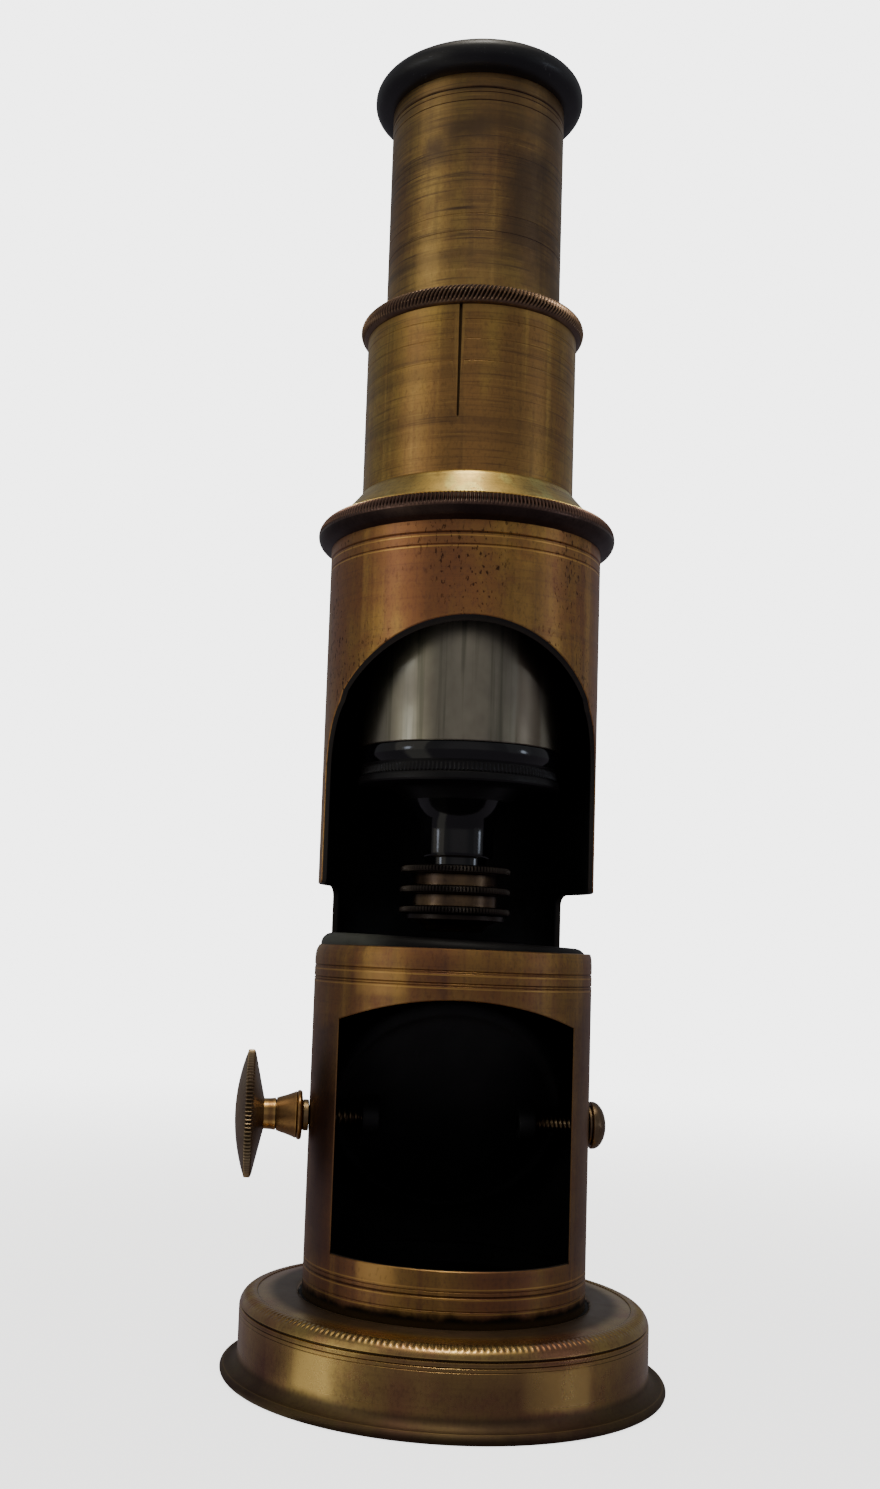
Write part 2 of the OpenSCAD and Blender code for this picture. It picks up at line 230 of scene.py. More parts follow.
def grooved(r, z_from, z_to, grooves):
    """Profile of a plain wall from one height to the next with V grooves given as (z, width, depth)."""
    way = 1 if z_to > z_from else -1
    points = [(r, z_from)]
    for z, width, cut in sorted(grooves, key=lambda g: way * g[0]):
        points += [(r, z - way * width / 2), (r - cut, z - way * width / 8)]
        points += [(r - cut, z + way * width / 8), (r, z + way * width / 2)]
    return points + [(r, z_to)]


def wall_radius(r, grooves, z):
    """Radius of a grooved wall at a height."""
    for centre, width, cut in grooves:
        off = abs(z - centre)
        if off < width / 2:
            return r - cut * min(1, (width / 2 - off) / (width * 0.375))
    return r


def inside(loop, x, y):
    """True if a point is inside a closed outline."""
    odd = False
    for (ax, ay), (bx, by) in zip(loop, loop[1:] + loop[:1]):
        if (ay > y) != (by > y) and x < (bx - ax) * (y - ay) / (by - ay) + ax:
            odd = not odd
    return odd


def grown(loop, distance):
    """The outline moved outwards, point by point. The outline runs anticlockwise."""
    moved = []
    for i, (x, y) in enumerate(loop):
        px, py = loop[i - 1]
        nx, ny = loop[(i + 1) % len(loop)]
        before = Vector((x - px, y - py)).normalized()
        after = Vector((nx - x, ny - y)).normalized()
        along = (before + after).normalized()
        stretch = 1 / max(0.5, along.dot(before))
        moved.append((x + along.y * distance * stretch, y - along.x * distance * stretch))
    return moved


def lay_shell(bm, r, outward, rows, columns, holes, notch, grooves, lean):
    """Meshes one skin of a cut tube, laid out flat and rolled up. Returns its outlines as lists of vertices.

    Holes and notch are outlines of (angle in degrees, z). The first returned list is the tube's own edge.
    """
    per_degree = radians(r)
    flat_holes = [[(a * per_degree, z) for a, z in hole] for hole in holes]
    across = [a * per_degree for a in columns]
    half = across[-1]
    upper = [(x, rows[-1]) for x in reversed(across[1:-1])]
    left = right = 0
    if notch:
        points = [(a * per_degree, z) for a, z in notch]
        left, right = points[0][0], points[-1][0]
        beside = [[p for p in upper if p[0] > right + 0.04], [p for p in upper if p[0] < left - 0.04]]
        upper = beside[0] + points[::-1] + beside[1]
    border = [(-half, z) for z in reversed(rows)] + [(x, rows[0]) for x in across[1:-1]]
    border += [(half, z) for z in rows] + upper
    outlines = [border] + flat_holes
    loops = outlines + [grown(hole, BROKEN_EDGE) for hole in flat_holes]
    points, edges, owner = [], [], []
    for i, loop in enumerate(loops):
        first = len(points)
        points += [Vector(p) for p in loop]
        edges += [(first + k, first + (k + 1) % len(loop)) for k in range(len(loop))]
        owner += [(i, k) for k in range(len(loop))]
    clear = [grown(hole, 4 * BROKEN_EDGE) for hole in flat_holes]
    for x in across[1:-1]:
        for z in rows[1:-1]:
            in_notch = notch and left - 0.2 < x < right + 0.2 and z > notch[1][1] - 0.4
            if not in_notch and not any(inside(hole, x, z) for hole in clear):
                points.append(Vector((x, z)))
    made, _, faces, origins, _, _ = delaunay_2d_cdt(points, edges, [], 0, 1e-5)

    found = [[None] * len(loop) for loop in outlines]
    skin = []
    for (x, z), origin in zip(made, origins):
        a = x / r
        marks = [owner[k] for k in origin if k < len(owner)]
        on_rim = any(0 < i < len(outlines) for i, _ in marks)
        wall = wall_radius(r, grooves, z) - lean(degrees(a), z)
        if on_rim:
            wall -= BROKEN_EDGE * outward
        vertex = bm.verts.new((wall * sin(a), -wall * cos(a), z))
        skin.append(vertex)
        for i, k in marks:
            if i < len(outlines):
                found[i][k] = vertex
    for face in faces:
        x = sum(made[k][0] for k in face) / len(face)
        z = sum(made[k][1] for k in face) / len(face)
        if inside(border, x, z) and not any(inside(hole, x, z) for hole in flat_holes):
            order = face if outward > 0 else list(reversed(face))
            bm.faces.new([skin[k] for k in order]).material_index = 0 if outward > 0 else 1
    return found


def cut_tube(node, outer, inner, z_low, z_high, openings, grooves, materials, notch=None,
             lean=lambda turn, z: 0, extra_rows=()):
    """A tube with openings: an outer and an inner skin, joined round every edge.

    Openings and notch are functions of a radius that give the outline on a wall of that radius.
    lean tells how far the wall leans inwards at a turn from the front and a height.
    """
    count = round((z_high - z_low) / ROW_STEP)
    rows = {z_low + (z_high - z_low) * i / count for i in range(count + 1)}
    for z, width, _ in grooves:
        rows = {row for row in rows if abs(row - z) > width}
        rows |= {z - width / 2, z - width / 8, z + width / 8, z + width / 2}
    rows = sorted(rows | {z_low, z_high} | set(extra_rows))
    turns = round(360 / COLUMN_STEP)
    columns = [-180 + 360 * i / turns for i in range(turns + 1)]
    bm = bmesh.new()
    skins = []
    for r, outward, cuts in ((outer, 1, grooves), (inner, -1, [])):
        holes = [opening(r) for opening in openings]
        cut = notch(r) if notch else []
        skins.append(lay_shell(bm, r, outward, rows, columns, holes, cut, cuts, lean))
    for outside, within in zip(*skins):
        for i in range(len(outside)):
            j = (i + 1) % len(outside)
            on_seam = all(v.co.y > 0 and abs(v.co.x) < 1e-4 for v in (outside[i], outside[j]))
            if not on_seam:
                bm.faces.new((outside[j], outside[i], within[i], within[j])).material_index = 2
    bmesh.ops.delete(bm, geom=[v for v in bm.verts if not v.link_faces], context="VERTS")
    bmesh.ops.remove_doubles(bm, verts=bm.verts, dist=1e-4)
    return finish_piece(bm, node, materials, sharp=30)


# ------------ materials

class Tree:
    """Builds a node tree with short calls."""

    def __init__(self, tree):
        self.tree = tree

    def plug(self, socket, value):
        """Links a socket to another node's, or sets it to a number, a vector or an RGB colour."""
        if isinstance(value, bpy.types.NodeSocket):
            self.tree.links.new(value, socket)
        elif socket.type == "RGBA":
            socket.default_value = (*value, 1)
        else:
            socket.default_value = value

    def add(self, kind, sockets=None, **settings):
        """Adds a node. sockets maps its inputs to values, settings are its options."""
        node = self.tree.nodes.new("ShaderNode" + kind)
        for key, value in settings.items():
            setattr(node, key, value)
        for key, value in (sockets or {}).items():
            self.plug(node.inputs[key], value)
        return node

    def out(self, kind, sockets=None, **settings):
        """Adds a node and gives its first output."""
        return self.add(kind, sockets, **settings).outputs[0]

    def math(self, kind, a, b=None):
        return self.out("Math", {0: a} if b is None else {0: a, 1: b}, operation=kind)

    def plus(self, a, b):
        return self.math("ADD", a, b)

    def minus(self, a, b):
        return self.math("SUBTRACT", a, b)

    def times(self, a, b):
        return self.math("MULTIPLY", a, b)

    def vector(self, kind, sockets):
        return self.add("VectorMath", sockets, operation=kind)

    def span(self, value, start, end, low=0, high=1):
        """Maps a value from start..end to low..high, clamped, with a smooth step."""
        sockets = {"Value": value, "From Min": start, "From Max": end, "To Min": low, "To Max": high}
        return self.out("MapRange", sockets, interpolation_type="SMOOTHSTEP")

    def span_mm(self, value, start, end, low=0, high=1):
        """The same for a length, with its start and end in millimetres."""
        return self.span(value, start * MM, end * MM, low, high)

    def mix(self, factor, a, b):
        """Mixes two colours, each an RGB triple or a socket."""
        return self.add("Mix", {0: factor, 6: a, 7: b}, data_type="RGBA").outputs[2]

    def blend(self, factor, a, b):
        """Mixes two shaders."""
        return self.out("MixShader", {0: factor, 1: a, 2: b})

    def two_faced(self, seen, lit):
        """A shader that the camera sees as the first one and all else as the second."""
        return self.blend(self.add("LightPath").outputs["Is Camera Ray"], lit, seen)


class Finish(Tree):
    """A material in the making, with its colour and roughness so far."""

    def __init__(self, name):
        self.material = bpy.data.materials.new(name)
        self.material.use_nodes = True
        super().__init__(self.material.node_tree)
        self.shader = self.tree.nodes["Principled BSDF"]
        self.place = self.add("TexCoord").outputs["Object"]
        self.x, self.y, self.z = self.add("SeparateXYZ", {0: self.place}).outputs
        self.colour = self.roughness = None

    def noise(self, scale, detail=3, rough=0.55, offset=0, distort=0):
        """Noise over the object's place, stretched by scale (x, y, z) in features per metre."""
        shift = (offset, offset * 0.7, offset * 1.3)
        mapping = self.add("Mapping", {"Vector": self.place, "Scale": scale, "Location": shift})
        sockets = {"Vector": mapping.outputs[0], "Scale": 1, "Detail": detail, "Roughness": rough}
        return self.add("TexNoise", {**sockets, "Distortion": distort}).outputs["Fac"]

    def relief(self, start, end):
        """Share of rubbed edges (positive limits) or of hollows with dirt in them (negative limits)."""
        return self.span(self.add("Attribute", attribute_name="relief").outputs["Fac"], start, end)

    def ragged(self, value, noise, amount):
        """A value that noise moves up and down by half of an amount."""
        return self.plus(value, self.times(self.minus(noise, 0.5), amount))

    def patch(self, place, noise, soft=1):
        """Share of a patch given as (turn, half width, low z, high z, strength), in degrees and millimetres."""
        turn, half, z_from, z_to, strength = place
        around = self.math("ARCTAN2", self.x, self.times(self.y, -1))
        off = self.ragged(self.math("ABSOLUTE", self.minus(around, radians(turn))), noise, soft * 0.1)
        height = self.ragged(self.z, noise, soft * 2 * MM)
        share = self.span(off, radians(half + 2 * soft), radians(half - 2 * soft))
        share = self.times(share, self.span_mm(height, z_from - soft / 2, z_from + soft / 2))
        share = self.times(share, self.span_mm(height, z_to + soft / 2, z_to - soft / 2))
        return self.times(share, strength)

    def distance(self):
        """Distance from the Z axis."""
        return self.math("SQRT", self.plus(self.times(self.x, self.x), self.times(self.y, self.y)))

    def cover(self, mask, tint, rougher=0):
        """Lays a tint over the colour so far and adds to the roughness under it."""
        self.colour = self.mix(mask, self.colour, tint)
        if rougher:
            self.roughness = self.plus(self.roughness, self.times(mask, rougher))

    def set(self, key, value):
        self.plug(self.shader.inputs[key], value)

    def brush(self, amount, axis="Z"):
        """Lathe-turned metal: reflections stretch along the turning axis."""
        self.set("Tangent", self.out("Tangent", direction_type="RADIAL", axis=axis))
        self.set("Anisotropic", amount)
        self.set("Anisotropic Rotation", 0.25)

    def bump(self, *layers):
        """Adds bump layers of (height socket, depth in millimetres)."""
        below = {}
        for height, depth in layers:
            sockets = {"Strength": 1, "Distance": depth * MM, "Height": height, **below}
            below = {"Normal": self.out("Bump", sockets)}
        self.set("Normal", below["Normal"])

    def done(self, metallic=0):
        """Gives the shader its colour, roughness and metalness, and returns the material."""
        self.set("Base Color", self.colour)
        self.set("Roughness", self.roughness)
        self.set("Metallic", metallic)
        return self.material


def old_brass(name, gold, brown, dark, rough, seed, pits=0.1, rings=0, streaks=0, stain=0,
              blotches=(70, 70, 45), black_fade=(), grey_brown_fade=(), wear_and_highlights=(), dirt_and_shade=(), groove_highlights=(), ditch=None,
              axis="Z", rubbed=0.4):
    """Brass with lacquer rubbed to patches of gold and brown, turning rings, streaks, specks, painted
    highlights, painted shade and darkening by height.

    gold, brown and dark are colours. black_fade and grey_brown_fade are lists of (start z, full z, strength):
    grey_brown_fade is an even grey-brown darkening, black_fade a ragged, almost black one. wear_and_highlights
    are patches of painted highlight and dirt_and_shade patches of dirt and painted shade, both as in
    Finish.patch; groove_highlights are heights of painted highlight lines beside the grooves, ditch is a radius
    inside which dirt has settled, rubbed tells how brightly the edges are rubbed.
    """
    n = Finish(name)
    near_black = (0.012, 0.01, 0.009)
    bright = tuple(min(1, c * 1.6) for c in gold)
    blotch = n.noise(blotches, 4, 0.6, seed)
    patch_noise = n.noise((120, 120, 130), 5, 0.65, seed + 1)
    column = n.noise((300, 300, 6), 3, 0.55, seed + 2)
    fine = n.noise((260, 260, 260), 5, 0.62, seed + 3)
    ring = n.noise((60, 60, 2500), 5, 0.72, seed + 5)
    band = n.noise((9, 9, 330), 3, 0.6, seed + 7)
    streak = n.noise((620, 620, 30), 3, 0.6, seed + 9)
    grain = n.noise((2600, 2600, 1500), 3, 0.6, seed + 17)
    n.colour = n.mix(n.span(blotch, 0.38, 0.62), gold, brown)
    n.roughness = n.plus(rough - 0.08, n.times(fine, 0.18))
    for noise, start, end, share, tint in (
            (column, 0.52, 0.68, 0.6 * streaks, brown), (column, 0.46, 0.34, 0.5 * streaks, bright),
            (band, 0.45, 0.72, 0.5 * rings, dark), (streak, 0.5, 0.78, 0.5 * streaks, dark),
            (fine, 0.46, 0.68, 0.55, brown), (ring, 0.5, 0.7, 0.7 * rings, dark),
            (ring, 0.42, 0.3, 0.3 * rings, bright), (grain, 0.45, 0.75, 0.35, dark)):
        n.cover(n.times(n.span(noise, start, end), share), tint)
    # Painted highlights: bright brass laid in patches where the metal's lit side shines.
    for place in wear_and_highlights:
        n.cover(n.patch(place, patch_noise), bright)
    # Painted highlights: thin bright lines beside the grooves at the given heights.
    for z in groove_highlights:
        line = n.span_mm(n.math("ABSOLUTE", n.minus(n.z, z * MM)), 0.13, 0.05)
        n.cover(n.times(line, n.span(fine, 0.66, 0.4, 0.6, 0.9)), bright)
    if stain:
        blot = n.noise((55, 55, 150), 5, 0.7, seed + 11)
        n.cover(n.times(n.span(blot, 0.5, 0.72), stain), dark, 0.15)
    # Dark patches: painted shade on the foot, the lower drum's sides and the draw tube's right side; dirt
    # elsewhere.
    for place in dirt_and_shade:
        n.cover(n.patch(place, patch_noise, 4), dark)
    speck = n.noise((2500, 2500, 1200), 2, 0.5, seed + 13)
    cluster = n.noise((110, 110, 60), 3, 0.5, seed + 15)
    mask = n.times(n.span(speck, 0.58, 0.69), n.span(cluster, 0.42, 0.6, 0.1, 1))
    n.cover(n.times(mask, n.span_mm(n.z, STAGE, STAGE + 30, 0.25 * pits, pits)), (0.035, 0.02, 0.018), 0.2)
    # An even grey-brown darkening from one height to another.
    for fade_start, full, strength in grey_brown_fade:
        n.cover(n.times(n.span_mm(n.z, fade_start, full), strength), (0.10, 0.07, 0.048), 0.2)
    # A ragged, almost black darkening from one height to another.
    for fade_start, full, strength in black_fade:
        height = n.ragged(n.z, fine, 2.2 * MM)
        n.cover(n.times(n.span_mm(height, fade_start, full), strength), near_black, 0.4)
    if ditch:
        reach = n.ragged(n.distance(), fine, 1.2 * MM)
        n.cover(n.span_mm(reach, ditch + 0.2, ditch - 0.2), near_black, 0.4)
    n.cover(n.times(n.relief(-0.05, -0.2), 0.8), (0.015, 0.012, 0.01))
    n.cover(n.times(n.relief(0.06, 0.25), rubbed), bright)
    n.brush(0.5, axis)
    n.bump((ring, 0.02 * rings), (fine, 0.007), (grain, 0.004))
    return n.done(1)


def black_finish(name, colour, rough, seed, scuffs=0.05, shine=0.3, wear_and_highlights=0, sheen_patches=()):
    """Black paint or lacquer on metal, lightly scratched and dusty, rubbed at the edges, with a painted sheen
    in patches.
    """
    n = Finish(name)
    fine = n.noise((420, 420, 420), 5, 0.6, seed)
    dust = n.noise((90, 90, 90), 3, 0.6, seed + 2)
    scratch = n.noise((900, 70, 900), 2, 0.6, seed + 4, 1.5)
    n.colour = n.mix(n.span(dust, 0.4, 0.75), colour, tuple(c * 1.8 + 0.004 for c in colour))
    n.roughness = n.plus(rough - 0.06, n.times(fine, 0.14))
    n.cover(n.times(n.span(scratch, 0.66, 0.74), scuffs), (0.10, 0.105, 0.11))
    # Painted sheen: grey patches standing in for a reflected sheen on the black.
    for place in sheen_patches:
        n.cover(n.patch(place, dust, 6), (0.085, 0.09, 0.075))
    bare = 0
    if wear_and_highlights:
        bare = n.times(n.relief(0.06, 0.25), wear_and_highlights)
        n.cover(bare, (0.16, 0.11, 0.05))
    n.set("Specular IOR Level", shine)
    n.bump((fine, 0.012), (dust, 0.02))
    return n.done(bare)


def coated_glass(name):
    """Lens glass with a few fine sleeks."""
    n = Finish(name)
    sleek = n.noise((600, 40, 600), 2, 0.5, 2)
    n.colour = n.mix(n.span(sleek, 0.6, 0.75), (0.86, 0.9, 0.9), (0.774, 0.81, 0.81))
    n.roughness = n.span(sleek, 0.6, 0.8, 0.02, 0.12)
    n.set("Transmission Weight", 0.95)
    n.set("IOR", 1.52)
    n.bump((sleek, 0.001))
    return n.done()


def old_silvering(name):
    """Mirror silvering with dark freckles."""
    n = Finish(name)
    freckle = n.noise((500, 500, 500), 3, 0.6, 4)
    n.colour = n.mix(n.span(freckle, 0.6, 0.7), (0.62, 0.64, 0.63), (0.12, 0.1, 0.08))
    n.roughness = n.span(freckle, 0.5, 0.7, 0.03, 0.3)
    n.bump((freckle, 0.001))
    return n.done(1)


def cast_lead(name):
    """Dull cast lead."""
    n = Finish(name)
    cast = n.noise((300, 300, 300), 5, 0.6, 6)
    n.colour = n.mix(n.span(cast, 0.35, 0.7), (0.2, 0.2, 0.21), (0.09, 0.09, 0.1))
    n.roughness = 0.6
    n.bump((cast, 0.05))
    return n.done(0.8)


def whitened_brass(name):
    """The body tube's finish: grey-beige with faint upright streaks and painted shade on its right side, a
    painted shadow ring where the top of the drum shades it, and dark brass above it.
    """
    n = Finish(name)
    streak = n.noise((700, 700, 22), 3, 0.6, 8)
    cloud = n.noise((120, 120, 80), 4, 0.6, 9)
    n.colour = n.mix(n.span(cloud, 0.35, 0.7), (0.36, 0.335, 0.25), (0.27, 0.245, 0.19))
    n.roughness = n.span(cloud, 0.3, 0.7, 0.3, 0.42)
    n.cover(n.times(n.span(streak, 0.48, 0.68), 0.75), (0.17, 0.165, 0.12))
    # Painted shade: a darker brown patch on the tube's right side.
    n.cover(n.patch((34, 9, 80, 112, 0.8), cloud), (0.17, 0.135, 0.095))
    # Painted shadow: a near-black ring on the tube just below the drum's top, fading out above it.
    under = n.span_mm(n.z, DRUM_TOP + 2, DRUM_TOP + 0.5)
    n.cover(n.times(n.span_mm(n.z, DRUM_TOP - 6, DRUM_TOP - 3), under), (0.01, 0.009, 0.007))
    n.cover(n.span_mm(n.z, DRUM_TOP + 0.5, DRUM_TOP + 2), (0.10, 0.065, 0.032))
    n.brush(0.4)
    n.bump((streak, 0.003))
    return n.done(1)


# The bright turn patches in these calls are painted highlights.
# The dark turn patches are painted shade on the foot, the lower drum's sides and the draw tube's right; the
# rest are dirt.
foot_brass = old_brass(
    "foot_brass", (0.52, 0.36, 0.12), (0.38, 0.185, 0.10), (0.14, 0.064, 0.05), 0.25, 1, pits=0.3,
    rings=0.25, streaks=0.4, blotches=(60, 60, 15), black_fade=((4.2, 0, 0.6),), ditch=DRUM_R + 0.55,
    grey_brown_fade=((3.2, 2.2, 0.7), (FOOT_TOP - 0.75, FOOT_TOP - 0.6, 0.9)),
    wear_and_highlights=((-41, 6, 3.2, 8.3, 0.85), (25, 10, 3.2, 8.3, 0.7)),
    dirt_and_shade=((-60, 7, 1, 10, 0.6), (6, 13, 1, 10, 0.5), (52, 10, 1, 10, 0.5)), rubbed=0.25)
drum_brass = old_brass(
    "drum_brass", (0.52, 0.30, 0.085), (0.38, 0.168, 0.075), (0.12, 0.068, 0.062), 0.38, 21, pits=0.8,
    rings=0.3, streaks=0.8, blotches=(75, 75, 22), black_fade=((DRUM_LOW + 2.6, DRUM_LOW + 1, 1),),
    grey_brown_fade=((DRUM_LOW + 62, DRUM_LOW + 38, 0.35),),
    groove_highlights=(13, 14.8, 16.1, CUT_EDGE - 5.25, CUT_EDGE - 3.5, DRUM_TOP - 2.2, DRUM_TOP - 3.7),
    wear_and_highlights=((-33, 8, 15.9, 18.6, 0.7), (-36, 12, CUT_EDGE - 6.4, CUT_EDGE - 2.6, 0.4)),
    dirt_and_shade=((-68, 10, 18, 50, 0.7), (58, 10, 18, 52, 0.5), (20, 12, 100, 112, 0.25)), rubbed=0.06)
sleeve_brass = old_brass(
    "sleeve_brass", (0.54, 0.355, 0.095), (0.40, 0.22, 0.078), (0.13, 0.08, 0.05), 0.36, 41, pits=0.2,
    rings=0.9, streaks=0.9, blotches=(75, 75, 20), rubbed=0.15)
draw_brass = old_brass(
    "draw_brass", (0.44, 0.285, 0.095), (0.28, 0.155, 0.07), (0.085, 0.058, 0.05), 0.38, 61, pits=0.15,
    rings=1.5, streaks=0.9, stain=0.5, blotches=(70, 70, 40), wear_and_highlights=((-38, 8, 154, 161.5, 0.2),),
    dirt_and_shade=((-14, 15, 177.5, 180.5, 1), (-34, 9, 174.5, 178.5, 0.9), (30, 14, 160, 176, 0.8),
           (60, 25, 154, 187, 0.4)), rubbed=0.2)
# A bright copy of the collar's brass, painted lit for its faces that look up.
lit_collar_brass = old_brass(
    "lit_collar_brass", (0.90, 0.68, 0.22), (0.70, 0.49, 0.14), (0.26, 0.17, 0.06), 0.29, 81, rings=0.8,
    streaks=1)
# A dimmer copy of the collar's brass for its milling.
knurl_brass = old_brass(
    "knurl_brass", (0.14, 0.085, 0.065), (0.08, 0.048, 0.04), (0.025, 0.018, 0.018), 0.34, 101,
    rings=0.2, streaks=0.2, rubbed=0.8)
# A dark copy of the collar's brass: painted shade on its rounded underside.
shaded_collar_rim_brass = old_brass(
    "shaded_collar_rim_brass", (0.075, 0.05, 0.04), (0.045, 0.03, 0.026), (0.02, 0.014, 0.014), 0.45, 105,
    rings=0.1, streaks=0.1)
head_brass = old_brass(
    "head_brass", (0.24, 0.155, 0.095), (0.13, 0.082, 0.06), (0.04, 0.028, 0.025), 0.36, 111,
    rings=0.2, streaks=0.2, rubbed=0.6)
knob_brass = old_brass(
    "knob_brass", (0.32, 0.24, 0.14), (0.2, 0.14, 0.09), (0.08, 0.05, 0.035), 0.4, 121, pits=0.2, axis="X")
stem_brass = old_brass(
    "stem_brass", (0.54, 0.34, 0.115), (0.38, 0.21, 0.08), (0.14, 0.08, 0.05), 0.28, 131, axis="X")
screw_brass = old_brass(
    "screw_brass", (0.26, 0.185, 0.10), (0.16, 0.11, 0.07), (0.07, 0.045, 0.03), 0.34, 135, pits=0.2,
    axis="X")
dull_brass = old_brass(
    "dull_brass", (0.26, 0.18, 0.09), (0.11, 0.075, 0.055), (0.035, 0.028, 0.023), 0.34, 141, pits=0.2,
    rings=0.3, streaks=0.1, rubbed=0.15)
button_rim = old_brass(
    "button_rim", (0.07, 0.057, 0.045), (0.045, 0.037, 0.032), (0.02, 0.018, 0.017), 0.4, 145, pits=0.2,
    rings=0.1, streaks=0.1, rubbed=0.1)
black_paint = black_finish("black_paint", (0.004, 0.004, 0.004), 0.65, 3)
edge_black = black_finish("edge_black", (0.010, 0.008, 0.006), 0.5, 4, scuffs=0.1, shine=0.4, wear_and_highlights=0.08)
# The stage's patch on the knob side is a painted sheen.
stage_black = black_finish("stage_black", (0.0035, 0.003, 0.003), 0.5, 5, shine=0.14,
                           sheen_patches=((-72, 34, 57, 63, 0.8),))
cap_black = black_finish("cap_black", (0.0045, 0.0045, 0.0055), 0.38, 7, scuffs=0.5, shine=0.5)
nose_black = black_finish("nose_black", (0.0025, 0.0025, 0.003), 0.1, 9, scuffs=0.03, shine=0.5)
flange_black = black_finish("flange_black", (0.004, 0.0035, 0.0035), 0.42, 10, scuffs=0.03)
mirror_black = black_finish("mirror_black", (0.003, 0.003, 0.003), 0.55, 11)
silvered_tube = whitened_brass("silvered_tube")
mirror_silver = old_silvering("mirror_silver")
lens_glass = coated_glass("lens_glass")
lead = cast_lead("lead")


# ------------ foot

def make_foot():
    side = FOOT_R - 2.4
    shoulder_r, shoulder_z = 2.2, FOOT_TOP - 2.9
    shoulder = (side - shoulder_r, shoulder_z)
    crest = shoulder_z + shoulder_r
    inner = side - 1.1
    rows = [(FOOT_R - 1.8, 0)]
    rows += arc((FOOT_R - 0.7, 0.7), 0.7, -90, 70, 12)
    rows += arc((side + 1.35, 2.55), 1.3, 268, 182, 10)
    rows += grooved(side, 3, shoulder_z + 0.1, [(FOOT_TOP - 3.75, 0.14, 0.05), (FOOT_TOP - 3.2, 0.2, 0.09)])
    rows += near(side, shoulder_z, (-0.02, 0.3), (-0.26, 0.4), (-0.26, 0.52))
    rows += arc(shoulder, shoulder_r, 17, 42, 5)
    rows += [(r, z, min(1, 0.3 + i / 3)) for i, (r, z) in enumerate(arc(shoulder, shoulder_r, 47, 88, 8))]
    rows += near(side, crest, (-2.35, -0.02, 0.7), (-2.5, -0.14, 0.2), (-2.7, -0.12), (-3.3, -0.04))
    rows += near(DRUM_R, FOOT_TOP, (2.6, -0.55), (1.2, -0.5), (0.75, -0.6), (0.55, -0.8))
    rows += near(0, DRUM_LOW, (DRUM_R + 0.45, 0), (8, 0), (8, -1.1), (inner - 1.8, -1.1), (inner, -2.9))
    rows += [(inner, 0.9), (FOOT_R - 1.8, 0.9)]
    turned("foot_shell", rows, [foot_brass], steps=6, teeth=210, depth=0.24)


# ------------ drum

# The objective window: its apex over the stage's cut edge, and how steeply it falls from front to back.
WINDOW_RISE = 45.3
CUT_SLOPE = 0.93


def wall_angle(r, y):
    """Turn from the front, in degrees, of a wall of radius r at a distance y behind the axis."""
    return degrees(acos(max(-1, min(1, -y / r))))


def spaced(start, end, count):
    """Points from start up to but not including end."""
    return [tuple(a + (b - a) * i / count for a, b in zip(start, end)) for i in range(count)]


def mirror_window(r):
    """Outline on a wall of radius r of the arched window, cut straight through from the front."""
    half_w, sill, corner, apex = 16.2, CUT_EDGE - 41.6, CUT_EDGE - 10.2, CUT_EDGE - 6.8
    across, upright = 48, 18
    rise = apex - corner
    arch_r = (half_w ** 2 + rise ** 2) / (2 * rise)
    edge = degrees(asin(half_w / r))
    points = spaced((-edge, sill), (edge, sill), across) + spaced((edge, sill), (edge, corner), upright)
    for i in range(across):
        x = half_w * cos(pi * i / across)
        points.append((degrees(asin(x / r)), apex - arch_r + sqrt(arch_r ** 2 - x ** 2)))
    points += spaced((-edge, corner), (-edge, sill), upright)
    return [(a - WINDOW_TURN, z) for a, z in points]


def apex_z(forward):
    """Height of the objective window's straight cut at a distance in front of the axis."""
    return CUT_EDGE + WINDOW_RISE - CUT_SLOPE * (DRUM_R - forward)


def quarter(r, count):
    """Points of a quarter circle from (0, 0) towards (r, r), its last point left out."""
    turns = [pi / 2 * i / count for i in range(count)]
    return [(r - r * cos(t), r * sin(t)) for t in turns]


def side_edge(r, turn):
    """Right edge, from the stage up to the apex, of the slot and the window over it, on a wall of radius r."""
    slot_top, slot_back, leg = CUT_EDGE + 8.7, 9.7, 4.6
    slot_r, leg_r, bend_r, bend_end = 1.5, 0.7, 14, radians(47)
    bend_y, bend_z = -leg - bend_r, CUT_EDGE + WINDOW_RISE - 21.2
    mm_per_degree = radians(r)
    back, front = wall_angle(r, slot_back), wall_angle(r, -leg) - turn
    points = spaced((back, CUT_EDGE), (back, slot_top - slot_r), 6)
    points += [(back - a / mm_per_degree, slot_top - slot_r + z) for a, z in quarter(slot_r, 5)]
    points += spaced((back - slot_r / mm_per_degree, slot_top), (front + leg_r / mm_per_degree, slot_top), 12)
    points += [(front + (leg_r - z) / mm_per_degree, slot_top + a) for a, z in quarter(leg_r, 4)]
    points += spaced((front, slot_top + leg_r), (front, bend_z), 9)
    for i in range(13):
        t = bend_end * i / 12
        points.append((wall_angle(r, bend_y + bend_r * cos(t)) - turn, bend_z + bend_r * sin(t)))
    start = wall_angle(r, bend_y + bend_r * cos(bend_end))
    for i in range(1, 24):
        a = start * (1 - i / 24)
        points.append((a - turn, apex_z(r * cos(radians(a)))))
    return points


def side_opening(r):
    """Outline on a wall of radius r of the slide slot and the objective window together."""
    right = side_edge(r, WINDOW_TURN)
    left = [(-a, z) for a, z in reversed(side_edge(r, -WINDOW_TURN))]
    sill = spaced((left[-1][0], CUT_EDGE), (right[0][0], CUT_EDGE), 96)[1:]
    return right + [(-WINDOW_TURN, apex_z(r))] + left + sill


